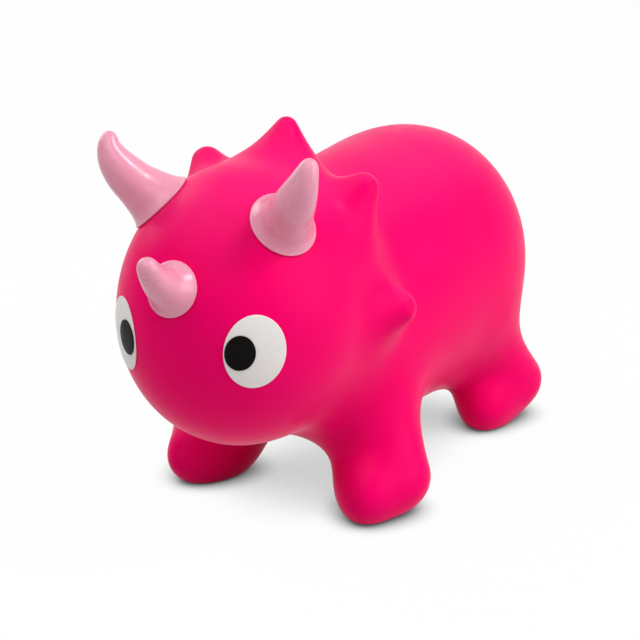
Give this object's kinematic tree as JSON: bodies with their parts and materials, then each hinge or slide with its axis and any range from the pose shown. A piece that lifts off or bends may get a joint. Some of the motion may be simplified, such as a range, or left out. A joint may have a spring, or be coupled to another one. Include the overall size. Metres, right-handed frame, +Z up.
{
  "type": "inflatable ride-on animal",
  "caption": "Inflatable ride-on horned dinosaur: hollow soft vinyl body on short legs, spiked collar, brow horns to hold, a nose horn and a stoppered air valve in the belly.",
  "frame": {"origin": "middle of the bounding box, on the floor under the soles", "axes": "+Z up, -Y the way the animal faces, +X its left side"},
  "size_m": [0.2738, 0.6198, 0.3815],
  "materials": {
    "body_vinyl": "satin hot pink soft vinyl",
    "horn_vinyl": "glossy pale pink soft vinyl",
    "eye_white_print": "flat white printed film",
    "pupil_print": "flat black printed film",
    "valve_seat_vinyl": "stiffer pink vinyl",
    "valve_plug_plastic": "off-white stopper"
  },
  "bodies": {
    "toy": {"body_skin": "body_vinyl", "brow_horn_left": "horn_vinyl", "brow_horn_right": "horn_vinyl", "nose_horn": "horn_vinyl", "eye_white_left": "eye_white_print", "eye_white_right": "eye_white_print", "pupil_left": "pupil_print", "pupil_right": "pupil_print", "valve_seat": "valve_seat_vinyl"},
    "plug": {"valve_plug": "valve_plug_plastic"}
  },
  "joints": [
    {"name": "plug_pull", "type": "slide", "parent": "toy", "child": "plug", "axis": [0, 0, -1], "range_m": [0, 0.022]}
  ]
}
